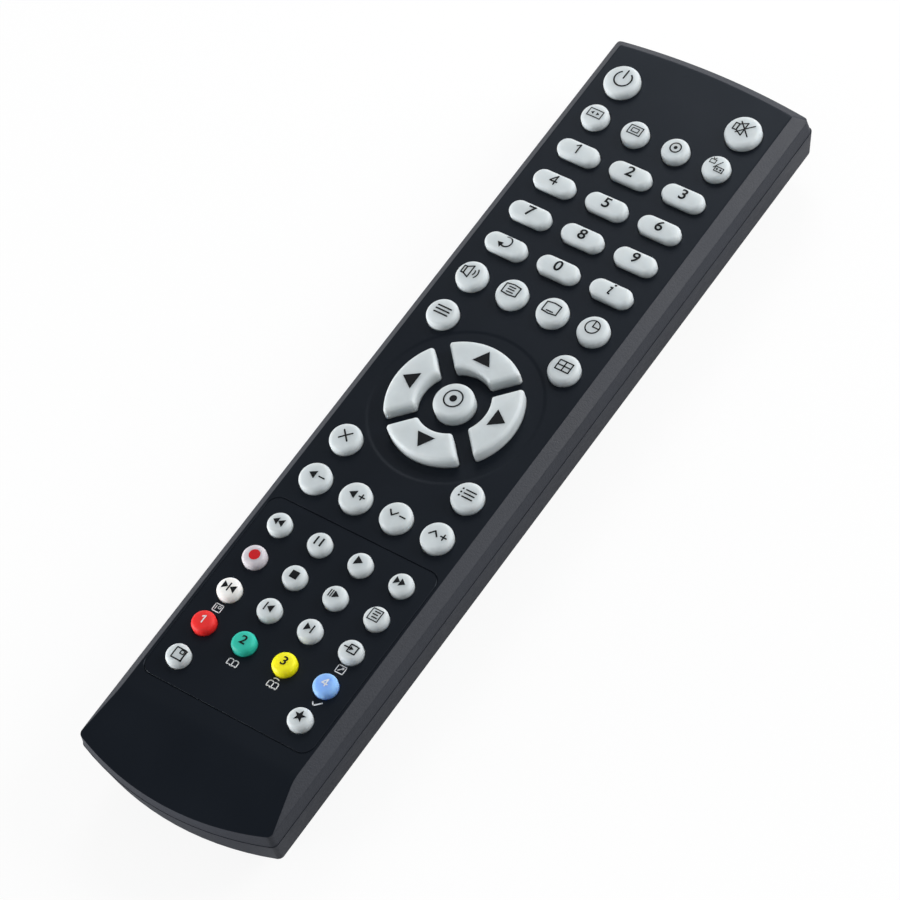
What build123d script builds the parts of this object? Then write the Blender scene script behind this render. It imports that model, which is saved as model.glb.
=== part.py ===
from build123d import *
from math import sqrt
import os

# Hand-held remote control for a personal video recorder: two moulded shells, fifty-three
# silicone keys over a keypad mat and circuit board, and two AAA cells behind a sliding cover.
# Millimetres, +Z out of the keyed face, +Y toward the infrared end, underside on Z = 0.

# Outside of the case
body_length = 210.0
body_width = 51.8
face_z = 19.5
near_radius = 73.4
far_radius = 190.0
case_step = 0.4
side_corner = 1.4

# Upper case
bevel_width = 2.5
bevel_drop = 2.35
bevel_corner = 0.4
seam_z = 13.4
seam_gap = 0.25
seam_depth = 0.7
chin_start = 16.9
chin_fall = 0.2
chin_blend = 18.0
wall = 1.8

# Lower case
tuck_z = 6.5
tuck_inset = 1.1
sole_inset = 6.3
floor = 1.8
lip_height = 1.2
lip_thickness = 0.9
lip_clearance = 0.15

# Key grid. Rows are measured from the centre of the navigation ring, margins from the case
near_margin = 29.24
far_margin = 13.5
column_margin = 9.73
number_margin = 11.9
number_pitch = 9.42
zero_row = 39.5
sound_row = 29.4
menu_row = 18.2
source_row = 77.6
power_row = 88.4
panel_row = 42.5
panel_pitch = 9.09

# Keys
power_size = 8.4
source_size = 6.4
round_size = 7.3
panel_size = 5.45
number_gap = 3.5
number_width = 4.7
ok_size = 9.2
ring_outer = 15.3
ring_inner = 8.3
ring_gap = 3.4
ring_corner = 1.0
key_height = 2.1
ok_height = 2.9
ring_height = 3.1
key_sides = 16
small_key_sides = 12
key_bevel = 0.6
ring_bevel = 0.9
key_clearance = 0.35
base_margin = 0.65
base_thickness = 0.8
base_clearance = 0.2

# Decoration moulded into the face
dish_radius = 19.8
dish_depth = 0.2
panel_side_margin = 3.4
panel_top_margin = 6.1
panel_bottom_margin = 6.4
panel_corner = 3.0
groove_width = 0.45
groove_depth = 0.3

# Keypad mat and circuit board
key_travel = 0.8
stop_gap = 0.3
mat_thickness = 0.6
board_thickness = 1.2
board_clearance = 2.6
board_end_gap = 12.8
peg_size = 2.2
peg_sides = 8
peg_clearance = 0.2
peg_offset = 2.7
mat_margin = 0.8

# Parts under the board
chip_row = 60.0
chip_length = 13.0
chip_width = 8.0
chip_thickness = 1.6
resonator_length = 7.0
resonator_width = 3.0
resonator_height = 3.2
capacitor_size = 5.0
capacitor_height = 7.0

# Infrared lamp
lamp_size = 5.0
lamp_length = 8.6
lamp_flange = 5.8
lamp_flange_thickness = 1.0
lamp_clearance = 0.3
lamp_flare = 1.0
lamp_recess = 0.2
lamp_taper = 28

# Two AAA cells and their bay
cell_size = 10.5
cell_length = 44.5
nipple_size = 3.8
nipple_length = 0.8
cell_gap = 0.6
cell_clearance = 0.2
contact_room = 3.2
contact_thickness = 0.4
contact_foot = 0.6
leaf_drop = 1.6
leaf_width = 7.0
tail_width = 3.0
tail_slot = 0.7
bay_near = 20.8
bay_wall = 1.4
foot_height = 4.9

# Battery cover
cover_thickness = 1.2
cover_half_width = 15.0
cover_clearance = 0.25
cover_lift = 0.15
cover_overlap = 2.5
rail_web = 0.9
rail_lip = 1.0
rail_height = 0.75
ledge_thickness = 1.15
end_block_reach = 13.8
grip_from_end = 17.8
grip_ridges = 6
grip_pitch = 1.8
grip_length = 14.0
grip_depth = 0.4

near_y = -body_length / 2
far_y = body_length / 2
half_width = body_width / 2

# Columns take the width that the margins leave, and rows close up or open out with the length
column_pitch = (half_width - column_margin) / 1.5
number_pitch_x = half_width - number_margin
number_length = number_pitch_x - number_gap
last_row = panel_row + 4 * panel_pitch
row_scale = (body_length - near_margin - far_margin) / (power_row + last_row)
ring_y = near_y + near_margin + last_row * row_scale
panel_half_width = half_width - panel_side_margin
panel_top = ring_y - panel_row * row_scale + panel_top_margin
panel_bottom = ring_y - last_row * row_scale - panel_bottom_margin
inside_z = face_z - wall
base_top = inside_z - base_clearance
base_z = base_top - base_thickness
mat_top = base_z - key_travel - stop_gap
board_top = mat_top - mat_thickness
board_z = board_top - board_thickness
board_half = half_width - case_step - wall - board_clearance
board_near = near_y + board_end_gap
lamp_base = far_y - case_step - lamp_recess - lamp_length
lamp_z = board_z + board_thickness / 2

bay_half = cell_size + cell_gap / 2 + cell_clearance
cell_z = cover_thickness + cell_clearance + cell_size / 2
bay_top = cell_z + cell_size / 2 + cell_clearance
bay_near_y = near_y + bay_near
bay_far_y = bay_near_y + cell_length + 2 * contact_room
cover_far_y = bay_far_y + cover_overlap
ledge_z = cover_thickness + cover_lift
ledge_top = ledge_z + ledge_thickness
rail_z = ledge_top + cover_lift
rail_top = rail_z + rail_height
rail_inner = bay_half + cover_clearance
rail_middle = rail_inner + rail_web
rail_outer = rail_middle + rail_lip
channel_top = rail_top + cover_clearance


def case_outline(side, near, far, corner=0):
    """Plan outline of the case, inset from its widest line by three separate amounts."""
    x = half_width - side
    near_arc = near_radius - near
    far_arc = far_radius - far
    near_end = near_y + near
    far_end = far_y - far
    near_corner = near_end + near_arc - sqrt(near_arc**2 - x**2)
    far_corner = far_end - far_arc + sqrt(far_arc**2 - x**2)
    with BuildSketch() as outline:
        with BuildLine():
            ThreePointArc((-x, near_corner), (0, near_end), (x, near_corner))
            Line((x, near_corner), (x, far_corner))
            ThreePointArc((x, far_corner), (0, far_end), (-x, far_corner))
            Line((-x, far_corner), (-x, near_corner))
        make_face()
        if corner:
            fillet(outline.vertices(), radius=corner)
    return outline.sketch


def side_profile(drop):
    """Length section of the face: level, then falling away over the chin to the near end."""
    top = face_z - drop
    start = near_y + case_step + chin_start
    reach = 40.0
    with BuildSketch(Plane.YZ) as profile:
        with BuildLine():
            Polyline(
                (far_y + reach, 0),
                (far_y + reach, top),
                (start, top),
                (start - reach, top - reach * chin_fall),
                (start - reach, 0),
                close=True,
            )
        make_face()
        bend = profile.vertices().sort_by_distance(Vector(0, start, top))[0]
        fillet(bend, radius=chin_blend)
    return profile.sketch


# Upper case: straight walls, a bevel along the sides and far end, and the sloping chin
with BuildPart() as face_slab:
    extrude(side_profile(0), amount=body_width, dir=(1, 0, 0), both=True)

with BuildPart() as inner_slab:
    extrude(side_profile(wall), amount=body_width, dir=(1, 0, 0), both=True)

# Room inside the upper case, one wall in from the outside all round
bevel_shift = wall * sqrt(bevel_width**2 + bevel_drop**2) / bevel_drop
bevel_slope = bevel_width / bevel_drop
bevel_z = face_z - bevel_drop
inner_bevel_z = bevel_z - (bevel_shift - wall) / bevel_slope
inner_top_inset = case_step + bevel_shift + (inside_z - bevel_z) * bevel_slope
inner_inset = case_step + wall
with BuildPart() as upper_room:
    with BuildSketch(Plane.XY.offset(seam_z)):
        add(case_outline(inner_inset, inner_inset, inner_inset))
    extrude(amount=inner_bevel_z - seam_z)
    with BuildSketch(Plane.XY.offset(inner_bevel_z)):
        add(case_outline(inner_inset, inner_inset, inner_inset))
    with BuildSketch(Plane.XY.offset(inside_z)):
        add(case_outline(inner_top_inset, inner_inset, inner_top_inset))
    loft(ruled=True)
    add(inner_slab.part, mode=Mode.INTERSECT)

# Hole for the infrared lamp, flared where it leaves the far wall
lamp_plane = Plane(origin=(0, 0, lamp_z), x_dir=(1, 0, 0), z_dir=(0, 1, 0))
lamp_hole_radius = lamp_size / 2 + lamp_clearance
with BuildPart() as lamp_hole:
    with BuildSketch(lamp_plane.offset(far_y - 3 * wall)):
        Circle(lamp_hole_radius)
    extrude(amount=4 * wall)
    with BuildSketch(lamp_plane.offset(far_y - case_step - lamp_flare)):
        Circle(lamp_hole_radius)
    extrude(amount=lamp_flare + wall, taper=-45)


def row_y(row):
    """Place along the case of a row that lies this far from the centre of the ring."""
    return ring_y + row * row_scale


def key_row(names, row, size):
    """Round keys side by side: four to a row, or two in the outer columns."""
    columns = (-1.5, -0.5, 0.5, 1.5) if len(names) == 4 else (-1.5, 1.5)
    return [(name, column * column_pitch, row_y(row), size) for name, column in zip(names, columns)]


round_keys = (
    key_row(["key_power", "key_mute"], power_row, power_size)
    + key_row(["key_mode_1", "key_mode_2", "key_mode_3", "key_mode_4"], source_row, source_size)
    + key_row(["key_audio", "key_text", "key_subtitle", "key_timer"], sound_row, round_size)
    + key_row(["key_menu", "key_guide"], menu_row, round_size)
    + key_row(["key_exit", "key_list"], -menu_row, round_size)
    + key_row(
        ["key_volume_down", "key_volume_up", "key_channel_down", "key_channel_up"],
        -sound_row,
        round_size,
    )
)
panel_rows = [
    ["key_rewind", "key_pause", "key_play", "key_forward"],
    ["key_record", "key_stop", "key_slow", "key_bookmark"],
    ["key_jump", "key_previous", "key_next", "key_input"],
    ["key_red", "key_green", "key_yellow", "key_blue"],
    ["key_picture", "key_favourite"],
]
for step, names in enumerate(panel_rows):
    round_keys += key_row(names, -panel_row - step * panel_pitch, panel_size)

number_rows = [
    ["key_back", "key_0", "key_info"],
    ["key_7", "key_8", "key_9"],
    ["key_4", "key_5", "key_6"],
    ["key_1", "key_2", "key_3"],
]


def round_outline(x, y, size):
    """Round key. There are so many that each circle is drawn with a few straight sides."""
    with BuildSketch() as outline:
        with Locations((x, y)):
            RegularPolygon(size / 2, key_sides if size > source_size else small_key_sides)
    return outline.sketch


def number_outline(x, y):
    """Oval key: two round ends and the straight sides between them."""
    end = (number_length - number_width) / 2
    with BuildSketch() as outline:
        with Locations((x - end, y), (x + end, y)):
            RegularPolygon(number_width / 2, small_key_sides)
        make_hull()
    return outline.sketch


def sector_outline(turn):
    """One of the four direction keys: a quarter of a ring between two parallel-sided gaps."""
    with BuildSketch() as outline:
        Circle(ring_outer)
        Circle(ring_inner, mode=Mode.SUBTRACT)
        Rectangle(3 * ring_outer, ring_gap, rotation=45, mode=Mode.SUBTRACT)
        Rectangle(3 * ring_outer, ring_gap, rotation=-45, mode=Mode.SUBTRACT)
        sector = outline.faces().sort_by(Axis.Y)[-1]
    with BuildSketch() as quarter:
        add(sector)
        chamfer(quarter.vertices(), length=ring_corner)
    return quarter.sketch.rotate(Axis.Z, turn).moved(Location((0, ring_y, 0)))


def grown(outline, amount):
    """The same plan outline, larger by an even margin."""
    return offset(outline, amount=amount, kind=Kind.INTERSECTION, mode=Mode.PRIVATE)


def base_outline(x, y, length, width):
    """Square-cut base, wider than the key all round, that stays under the face."""
    with BuildSketch() as outline:
        with Locations((x, y)):
            Rectangle(length + 2 * base_margin, width + 2 * base_margin)
    return outline.sketch


# Every key as its name, plan outline, base outline, height over the face and crown bevel
keys = []
for name, x, y, size in round_keys:
    keys.append((name, round_outline(x, y, size), base_outline(x, y, size, size), key_height, key_bevel))
for step, names in enumerate(number_rows):
    for column, name in enumerate(names):
        x = (column - 1) * number_pitch_x
        y = row_y(zero_row + step * number_pitch)
        base = base_outline(x, y, number_length, number_width)
        keys.append((name, number_outline(x, y), base, key_height, key_bevel))
for turn, name in enumerate(["key_up", "key_left", "key_down", "key_right"]):
    sector = sector_outline(90 * turn)
    keys.append((name, sector, grown(sector, base_margin), ring_height, ring_bevel))
ok_outline = round_outline(0, ring_y, ok_size)
keys.append(("key_ok", ok_outline, grown(ok_outline, base_margin), ok_height, key_bevel))

pegs = [
    (0, row_y(power_row)),
    (0, row_y((zero_row + sound_row) / 2)),
    (0, ring_y + ring_outer + peg_offset),
    (0, ring_y - ring_outer - peg_offset),
    (0, row_y(-(panel_row + sound_row) / 2)),
    (0, row_y(-last_row)),
]

with BuildPart() as upper_case:
    with BuildSketch(Plane.XY.offset(seam_z)):
        add(case_outline(case_step, case_step, case_step, side_corner))
    extrude(amount=bevel_z - seam_z)
    with BuildSketch(Plane.XY.offset(bevel_z)):
        add(case_outline(case_step, case_step, case_step, side_corner))
    with BuildSketch(Plane.XY.offset(face_z)):
        add(case_outline(case_step + bevel_width, case_step, case_step + bevel_width, bevel_corner))
    loft(ruled=True)
    add(face_slab.part, mode=Mode.INTERSECT)
    add(upper_room.part, mode=Mode.SUBTRACT)
    # Shadow gap over the seam, all round the outside
    with BuildSketch(Plane.XY.offset(seam_z)):
        add(case_outline(-1, -1, -1, side_corner))
        seam_inset = case_step + seam_depth
        add(case_outline(seam_inset, seam_inset, seam_inset), mode=Mode.SUBTRACT)
    extrude(amount=seam_gap, mode=Mode.SUBTRACT)
    # Shallow dish round the direction keys
    with BuildSketch(Plane.XY.offset(face_z)):
        with Locations((0, ring_y)):
            Circle(dish_radius)
    extrude(amount=-dish_depth, taper=45, mode=Mode.SUBTRACT)
    # Thin groove that frames the recorder keys
    with BuildSketch(Plane.XY.offset(face_z)):
        with Locations((0, (panel_top + panel_bottom) / 2)):
            frame_width = 2 * panel_half_width
            frame_height = panel_top - panel_bottom
            RectangleRounded(frame_width, frame_height, panel_corner)
            RectangleRounded(
                frame_width - 2 * groove_width,
                frame_height - 2 * groove_width,
                panel_corner - groove_width,
                mode=Mode.SUBTRACT,
            )
    extrude(amount=-groove_depth, mode=Mode.SUBTRACT)
    # Key holes
    with BuildSketch(Plane.XY.offset(inside_z - wall)):
        for name, outline, base, height, bevel in keys:
            add(grown(outline, key_clearance))
    extrude(amount=3 * wall, mode=Mode.SUBTRACT)
    # Pegs that locate the keypad mat and the circuit board
    with BuildSketch(Plane.XY.offset(board_z - peg_clearance)):
        with Locations(pegs):
            RegularPolygon(peg_size / 2, peg_sides)
    extrude(amount=inside_z - board_z + peg_clearance)
    add(lamp_hole.part, mode=Mode.SUBTRACT)

# Outside of the lower case: leaning side walls, then a tuck under to the flat sole
with BuildPart() as lower_form:
    with BuildSketch(Plane.XY):
        add(case_outline(sole_inset, sole_inset, sole_inset, side_corner))
    with BuildSketch(Plane.XY.offset(tuck_z)):
        add(case_outline(tuck_inset, tuck_inset, tuck_inset, side_corner))
    loft(ruled=True)
    with BuildSketch(Plane.XY.offset(tuck_z)):
        add(case_outline(tuck_inset, tuck_inset, tuck_inset, side_corner))
    with BuildSketch(Plane.XY.offset(seam_z)):
        add(case_outline(0, 0, 0, side_corner))
    loft(ruled=True)

# Room inside the lower case, less what the battery bay and its foot take up
rim_inset = inner_inset + lip_clearance + lip_thickness
tuck_slope = (sole_inset - tuck_inset) / tuck_z
tuck_wall = wall * sqrt(1 + tuck_slope**2)
floor_inset = sole_inset - floor * tuck_slope + tuck_wall
knee_inset = tuck_inset + tuck_wall
foot_half = cover_half_width + bay_wall
foot_far_y = cover_far_y + bay_wall
with BuildPart() as lower_room:
    with BuildSketch(Plane.XY.offset(floor)):
        add(case_outline(floor_inset, floor_inset, floor_inset))
    with BuildSketch(Plane.XY.offset(tuck_z)):
        add(case_outline(knee_inset, knee_inset, knee_inset))
    loft(ruled=True)
    with BuildSketch(Plane.XY.offset(tuck_z)):
        add(case_outline(knee_inset, knee_inset, knee_inset))
    with BuildSketch(Plane.XY.offset(seam_z)):
        add(case_outline(rim_inset, rim_inset, rim_inset))
    loft(ruled=True)
    with BuildSketch(Plane.XY):
        with Locations((0, (near_y + foot_far_y) / 2)):
            Rectangle(2 * foot_half, foot_far_y - near_y)
    extrude(amount=foot_height, mode=Mode.SUBTRACT)
    with BuildSketch(Plane.XY):
        with Locations((0, (bay_near_y + bay_far_y) / 2)):
            Rectangle(2 * (bay_half + bay_wall), bay_far_y - bay_near_y + 2 * bay_wall)
    extrude(amount=seam_z, mode=Mode.SUBTRACT)

contact_ends = [(bay_near_y, 1), (bay_far_y, -1)]
cell_x = (cell_size + cell_gap) / 2

with BuildPart() as lower_case:
    add(lower_form.part)
    add(lower_room.part, mode=Mode.SUBTRACT)
    # Lip that stands up inside the upper case
    with BuildSketch(Plane.XY.offset(seam_z)):
        lip_inset = inner_inset + lip_clearance
        add(case_outline(lip_inset, lip_inset, lip_inset))
        add(case_outline(rim_inset, rim_inset, rim_inset), mode=Mode.SUBTRACT)
    extrude(amount=lip_height)
    # Battery bay
    with BuildSketch(Plane.XY):
        with Locations((0, (bay_near_y + bay_far_y) / 2)):
            Rectangle(2 * bay_half, bay_far_y - bay_near_y)
    extrude(amount=bay_top, mode=Mode.SUBTRACT)
    # Slots that let the contact tails through to the board
    with BuildSketch(Plane.XY.offset(bay_top)):
        for end_y, way in contact_ends:
            with Locations((-cell_x, end_y + way * tail_slot / 2), (cell_x, end_y + way * tail_slot / 2)):
                Rectangle(tail_width + tail_slot, tail_slot)
    extrude(amount=seam_z, mode=Mode.SUBTRACT)
    # Recess, slot and channel that the battery cover slides in, open at the near end
    channel_y = cover_far_y + cover_clearance
    for half, base, top in [
        (cover_half_width + cover_clearance, 0, ledge_z),
        (rail_middle + cover_clearance, ledge_z, ledge_top),
        (rail_outer + cover_clearance, ledge_top, channel_top),
    ]:
        with BuildSketch(Plane.XY.offset(base)):
            with Locations((0, (near_y + channel_y) / 2)):
                Rectangle(2 * half, channel_y - near_y)
        extrude(amount=top - base, mode=Mode.SUBTRACT)
    add(lamp_hole.part, mode=Mode.SUBTRACT)

# Battery cover: plate and end block follow the sole, with a hooked rail each side
block_far_y = near_y + end_block_reach
with BuildPart() as battery_cover:
    with BuildSketch(Plane.XY):
        with Locations((0, (near_y + cover_far_y) / 2)):
            Rectangle(2 * cover_half_width, cover_far_y - near_y)
    extrude(amount=cover_thickness)
    with BuildSketch(Plane.XY):
        with Locations((0, (near_y + block_far_y) / 2)):
            Rectangle(2 * rail_middle, block_far_y - near_y)
    extrude(amount=rail_top)
    add(lower_form.part, mode=Mode.INTERSECT)
    rail_near_y = block_far_y
    rail_far_y = bay_far_y
    for side in (-1, 1):
        with BuildSketch(Plane.XY.offset(cover_thickness)):
            with Locations((side * (rail_inner + rail_middle) / 2, (rail_near_y + rail_far_y) / 2)):
                Rectangle(rail_web, rail_far_y - rail_near_y)
        extrude(amount=rail_top - cover_thickness)
        with BuildSketch(Plane.XY.offset(rail_z)):
            with Locations((side * (rail_inner + rail_outer) / 2, (rail_near_y + rail_far_y) / 2)):
                Rectangle(rail_outer - rail_inner, rail_far_y - rail_near_y)
        extrude(amount=rail_height)
    # Finger ridges
    with BuildSketch(Plane.XY):
        with Locations((0, near_y + grip_from_end)):
            with GridLocations(0, grip_pitch, 1, grip_ridges):
                Rectangle(grip_length, grip_pitch / 2)
    extrude(amount=grip_depth, mode=Mode.SUBTRACT)

# Keypad mat: one sheet on the board, located by the pegs
with BuildPart() as keypad_mat:
    with BuildSketch(Plane.XY.offset(board_top)):
        with Locations((0, (board_near + lamp_base - mat_margin) / 2)):
            Rectangle(2 * (board_half - mat_margin), lamp_base - board_near - mat_margin)
        with Locations(pegs):
            RegularPolygon(peg_size / 2 + peg_clearance, peg_sides, mode=Mode.SUBTRACT)
    extrude(amount=mat_thickness)

# Circuit board, with the lamp on its far edge and three parts under it
with BuildPart() as board:
    with BuildSketch(Plane.XY.offset(board_z)):
        with Locations((0, (board_near + lamp_base) / 2)):
            Rectangle(2 * board_half, lamp_base - board_near)
        with Locations(pegs):
            RegularPolygon(peg_size / 2 + peg_clearance, peg_sides, mode=Mode.SUBTRACT)
    extrude(amount=board_thickness)

with BuildPart() as lamp:
    with BuildSketch(lamp_plane.offset(lamp_base)):
        Circle(lamp_flange / 2)
    extrude(amount=lamp_flange_thickness)
    with BuildSketch(lamp_plane.offset(lamp_base + lamp_flange_thickness)):
        Circle(lamp_size / 2)
    extrude(amount=lamp_length - lamp_flange_thickness - lamp_size / 2)
    with BuildSketch(lamp_plane.offset(lamp_base + lamp_length - lamp_size / 2)):
        Circle(lamp_size / 2)
    extrude(amount=lamp_size / 2, taper=lamp_taper)

with BuildPart() as chip:
    with BuildSketch(Plane.XY.offset(board_z)):
        with Locations((0, row_y(chip_row))):
            Rectangle(chip_length, chip_width)
    extrude(amount=-chip_thickness)

with BuildPart() as resonator:
    with BuildSketch(Plane.XY.offset(board_z)):
        with Locations((chip_length, row_y(chip_row))):
            Rectangle(resonator_length, resonator_width)
    extrude(amount=-resonator_height)

with BuildPart() as capacitor:
    with BuildSketch(Plane.XY.offset(board_z)):
        with Locations((-chip_length, row_y(chip_row))):
            Circle(capacitor_size / 2)
    extrude(amount=-capacitor_height)

circuit_board = Compound(
    label="circuit_board",
    children=[board.part, lamp.part, chip.part, resonator.part, capacitor.part],
)

# Battery contacts: a bent leaf at each end of each cell, with a tail up to the board
leaf_low = cell_z - cell_size / 2 + cell_clearance + contact_foot
leaf_high = cell_z + cell_size / 2 - leaf_drop
contacts = []
for end_y, way in contact_ends:
    for x in (-cell_x, cell_x):
        with BuildPart() as contact:
            with BuildSketch(Plane.YZ.offset(x - leaf_width / 2)):
                back = end_y + way * contact_thickness / 2
                front = end_y + way * (contact_room - contact_thickness)
                with BuildLine():
                    Polyline(
                        (back, leaf_low),
                        (back, leaf_high),
                        (front, cell_z),
                        ((back + front) / 2, (leaf_low + cell_z) / 2),
                    )
                trace(line_width=contact_thickness)
            extrude(amount=leaf_width)
            with BuildSketch(Plane.XY.offset(leaf_high)):
                with Locations((x, back)):
                    Rectangle(tail_width, contact_thickness)
            extrude(amount=board_z - leaf_high)
        contacts.append(contact.part)
battery_contacts = Compound(label="battery_contacts", children=contacts)

# Two cells, laid opposite ways
cells = []
for x, way in ((-cell_x, 1), (cell_x, -1)):
    start = (bay_near_y + bay_far_y - way * cell_length) / 2
    cell_plane = Plane(origin=(x, start, cell_z), x_dir=(1, 0, 0), z_dir=(0, way, 0))
    with BuildPart() as cell:
        with BuildSketch(cell_plane):
            Circle(cell_size / 2)
        extrude(amount=cell_length - nipple_length)
        with BuildSketch(cell_plane.offset(cell_length - nipple_length)):
            Circle(nipple_size / 2)
        extrude(amount=nipple_length)
    cells.append(cell.part)
batteries = Compound(label="batteries", children=cells)

os.makedirs("parts", exist_ok=True)

for name, outline, base, height, bevel in keys:
    with BuildPart() as key:
        with BuildSketch(Plane.XY.offset(base_z)):
            add(base)
        extrude(amount=base_thickness)
        with BuildSketch(Plane.XY.offset(base_top)):
            add(outline)
        extrude(amount=face_z + height - base_top)
        crown = key.faces().sort_by(Axis.Z)[-1]
        chamfer(crown.edges(), length=bevel)
    key.part.label = name
    export_step(key.part, f"parts/{name}.step")

upper_case.part.label = "upper_case"
lower_case.part.label = "lower_case"
battery_cover.part.label = "battery_cover"
keypad_mat.part.label = "keypad_mat"
export_step(upper_case.part, "parts/upper_case.step")
export_step(lower_case.part, "parts/lower_case.step")
export_step(battery_cover.part, "parts/battery_cover.step")
export_step(keypad_mat.part, "parts/keypad_mat.step")
export_step(circuit_board, "parts/circuit_board.step")
export_step(battery_contacts, "parts/battery_contacts.step")
export_step(batteries, "parts/batteries.step")
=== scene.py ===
import math
from collections import namedtuple

import bmesh
import bpy
import numpy as np
from mathutils import Matrix, Vector
from mathutils.geometry import delaunay_2d_cdt


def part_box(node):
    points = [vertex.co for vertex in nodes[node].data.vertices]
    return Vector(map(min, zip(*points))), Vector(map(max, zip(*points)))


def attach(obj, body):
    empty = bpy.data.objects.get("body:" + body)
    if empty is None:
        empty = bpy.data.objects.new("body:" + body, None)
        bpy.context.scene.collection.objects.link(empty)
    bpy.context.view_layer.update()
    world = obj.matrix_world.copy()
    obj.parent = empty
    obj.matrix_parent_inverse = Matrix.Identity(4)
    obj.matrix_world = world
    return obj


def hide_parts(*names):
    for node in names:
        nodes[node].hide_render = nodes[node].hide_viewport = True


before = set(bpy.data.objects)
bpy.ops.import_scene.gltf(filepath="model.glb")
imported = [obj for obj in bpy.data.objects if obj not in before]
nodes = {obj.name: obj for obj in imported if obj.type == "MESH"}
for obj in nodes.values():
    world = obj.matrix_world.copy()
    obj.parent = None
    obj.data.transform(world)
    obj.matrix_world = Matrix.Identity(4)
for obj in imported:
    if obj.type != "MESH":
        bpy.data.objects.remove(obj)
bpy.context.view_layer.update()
scene = bpy.context.scene

# Sizes are in millimetres, as in the model, and every mesh is scaled to metres when it is made
MM = 0.001
QUARTER = math.pi / 2

# Case. The upper shell stands back from the lower one by the step
HALF_LENGTH = 105.0
HALF_WIDTH = 25.9
FACE_Z = 19.5
NEAR_RADIUS = 73.4
FAR_RADIUS = 190.0
SIDE_CORNER = 1.4
LEAST_CORNER = 0.3
CASE_STEP = 0.4
EDGE = 0.08
WALL = 1.8
BEVEL_WALL = 2.5
RIM_INSET = 2.2

# Bevel along the sides and the far end. Top, middle and foot of the fine line are depths below it, and
# the line fades out over a drop of the rim, down to the height where it ends
BEVEL_WIDTH = 2.5
BEVEL_DROP = 2.35
BEVEL_Z = FACE_Z - BEVEL_DROP
BEVEL_CORNER = 0.5
CREASE = 0.22
LINE_DEPTH = 0.11
LINE_TOP = 0.16
LINE_MIDDLE = 0.24
LINE_FOOT = 0.36
LINE_END_Z = 16.9
LINE_FADE = 0.2

# Seam between the shells. The wall over it leans out by the draft
SEAM_Z = 13.4
SEAM_GAP = 0.09
SEAM_DEPTH = 0.35
SEAM_ROUND = 0.05
DRAFT = 0.28

# Chin: where its slope would meet the level face, its slope, and the radius that joins the two.
# The mesh follows close lines across the curve and close points along the stretch
CHIN_START = -87.7
CHIN_FALL = 0.2
CHIN_BLEND = 18.0
CHIN_CURVE = np.linspace(CHIN_START - 2.2, CHIN_START + 2.25, 13)
CHIN_STRETCH = (-100.5, -82.0)
CHIN_REACH = 25.2

# Sunk ring round the direction keys, and the groove that frames the recorder keys
RING_Y = 3.1
DISH_RADIUS = 19.9
DISH_SLOPE = 1.0
DISH_DEPTH = 0.08
PANEL_HALF_WIDTH = 22.5
PANEL_TOP = -33.1
PANEL_BOTTOM = -82.16
PANEL_CORNER = 3.0
GROOVE_WIDTH = 0.34
GROOVE_DEPTH = 0.18

# Hole of the infrared lamp, and where its cutter starts and ends along the case
LAMP_Z = 14.4
LAMP_HOLE = 2.62
LAMP_SIDES = 48
LAMP_CUT = (HALF_LENGTH - 5.4, HALF_LENGTH + 1.6)

# Keys: the base under the face, the straight wall, the rolled edge and the crown of the top
KEY_CLEARANCE = 0.16
BASE_MARGIN = 0.65
BASE_Z = 16.7
BASE_TOP = 17.5
WALL_BAND = 0.3
ROLL = 1.0
ROLL_DROP = 1.15
ROLL_STEPS = 10
CROWN = 0.12
CROWN_STEPS = 6
CENTRE_FLAT = 0.05
OK_RADIUS = 4.6

# Direction keys: a ring cut in four, each key with its turn in degrees
RING_OUTER = 15.3
RING_INNER = 8.3
RING_GAP = 3.4
RING_CORNER = 0.7
LEAST_RING_CORNER = 0.05
RING_ROLL = 0.9
TURNS = {"key_up": 0, "key_left": 90, "key_down": 180, "key_right": 270}

# Print: a little off the middle of the keys, all the same way, and a hair over the surface
PRINT_X, PRINT_Y = 0.15, 0.25
PRINT_ROOM = 0.03
PRINT_STEP = 0.5
KEY_INK_LIFT = 0.02
FACE_INK_LIFT = 0.015
THIN, PLAIN, BOLD = 0.26, 0.32, 0.38
DIGIT = 2.7
COLOUR_DIGIT = 2.1
ARROW = [(-2.25, 10.2), (2.25, 10.2), (0, 13.6)]
ARROW_X, ARROW_Y = 0.25, RING_Y + 0.1

# Edges of the model's own solids, and where the lamp's lens starts on the board
SHARP_ANGLE = math.radians(32)
WELD = 0.002
ROUNDING = {"lower_case": 0.1, "battery_cover": 0.18}
LENS_START = 95.7


# Colours and materials

def linear(r, g, b):
    """An sRGB colour in 0 to 255 as linear values with alpha."""
    out = []
    for c in (r, g, b):
        c /= 255
        out.append(c / 12.92 if c <= 0.04045 else ((c + 0.055) / 1.055) ** 2.4)
    return (*out, 1.0)


def scaled(colour, factor):
    """A lighter or darker colour, never over white."""
    return (*(min(1.0, c * factor) for c in colour[:3]), 1.0)


def new_material(name):
    """A material with its shader, and the object-space coordinates that its textures use."""
    material = bpy.data.materials.new(name)
    material.use_nodes = True
    tree = material.node_tree
    shader = tree.nodes["Principled BSDF"]
    where = tree.nodes.new("ShaderNodeTexCoord")
    return material, tree, shader, where.outputs["Object"]


def noise(tree, where, scale, detail, rough):
    """A noise over the object, with its scale in features to the metre."""
    node = tree.nodes.new("ShaderNodeTexNoise")
    node.inputs["Scale"].default_value = scale
    node.inputs["Detail"].default_value = detail
    node.inputs["Roughness"].default_value = rough
    tree.links.new(where, node.inputs["Vector"])
    return node.outputs["Fac"]


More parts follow.
